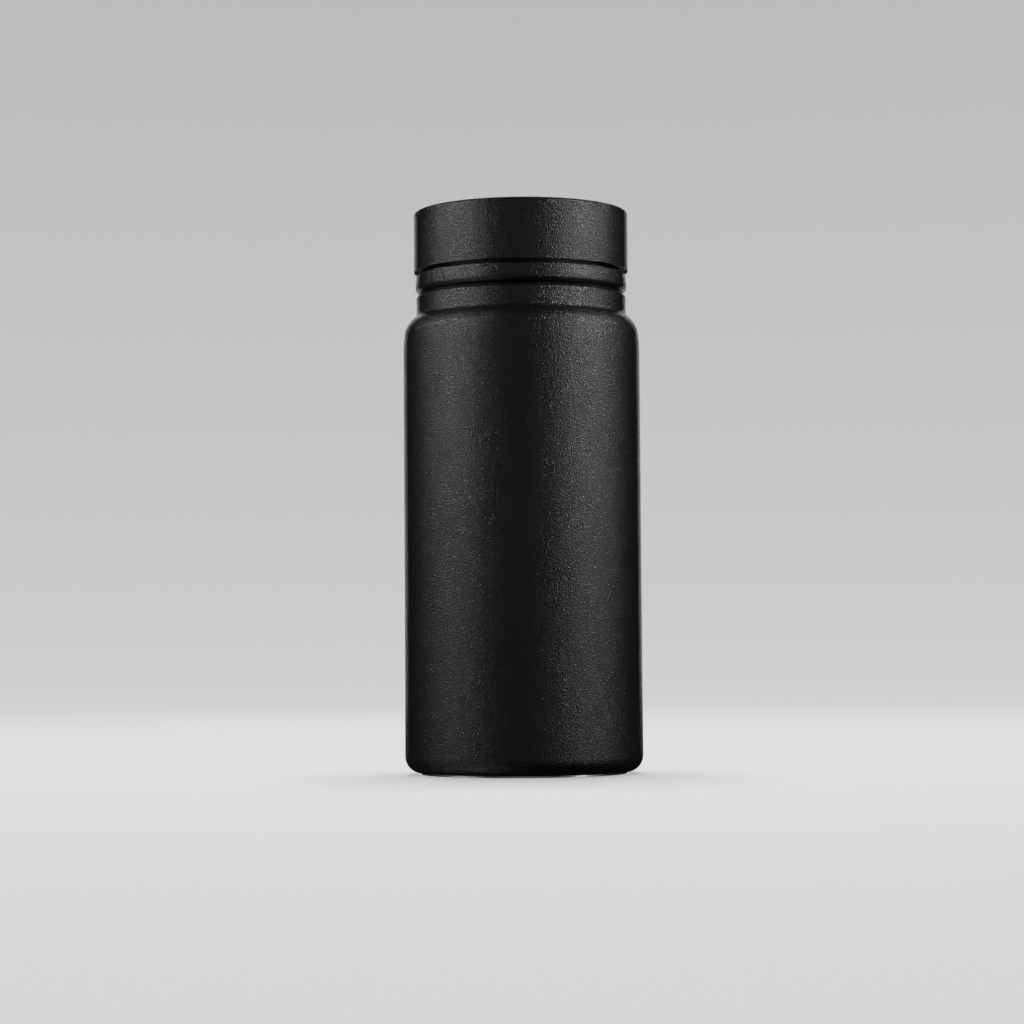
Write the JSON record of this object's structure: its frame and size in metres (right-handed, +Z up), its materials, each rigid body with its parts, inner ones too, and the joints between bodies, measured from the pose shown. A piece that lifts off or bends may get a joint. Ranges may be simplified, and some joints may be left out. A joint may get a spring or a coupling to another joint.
{
  "type": "insulated canister",
  "caption": "Slim vacuum-insulated steel canister with a matte black coat, a soft shoulder, a grooved neck and a plain screw lid with a plug.",
  "frame": {"origin": "centre of the base, on the floor the canister stands on", "axes": "+Z up along the axis of the body and the lid"},
  "size_m": [0.073, 0.073, 0.1732],
  "materials": {
    "powder_coat": "matte black powder coat with a fine grain",
    "bare_steel": "satin, turned",
    "brushed_cover": "brushed in circles",
    "copper_foil": "creased foil",
    "solder_glass": "dull fused glass",
    "getter": "sintered",
    "silicone": "soft matte",
    "foam": "beaded foam",
    "liner_plastic": "fine moulded texture"
  },
  "bodies": {
    "canister": {"outer_shell": "powder_coat", "threaded_neck": "bare_steel", "inner_vessel": "bare_steel", "inner_bottom": "bare_steel", "radiation_foil": "copper_foil", "outer_bottom": "bare_steel", "seal_bead": "solder_glass", "getter_holder": "bare_steel", "getter_pellet": "getter", "base_cover": "brushed_cover"},
    "gasket": {"rim_gasket": "silicone"},
    "lid": {"lid_shell": "powder_coat", "lid_foam": "foam", "lid_liner": "liner_plastic", "plug_seal": "silicone", "plug_base": "liner_plastic", "plug_disc": "bare_steel"}
  },
  "joints": [
    {"name": "lid_rise", "type": "slide", "parent": "canister", "child": "gasket", "axis": [0, 0, 1], "range_m": [0, 0.03]},
    {"name": "lid_turn", "type": "hinge", "parent": "gasket", "child": "lid", "pos_m": [0, 0, 0.161], "axis": [0, 0, 1], "range_deg": [0, 900]}
  ],
  "couplings": [
    {"joint": "lid_rise", "follows": "lid_turn", "m_per_rad": 0.0019099}
  ]
}
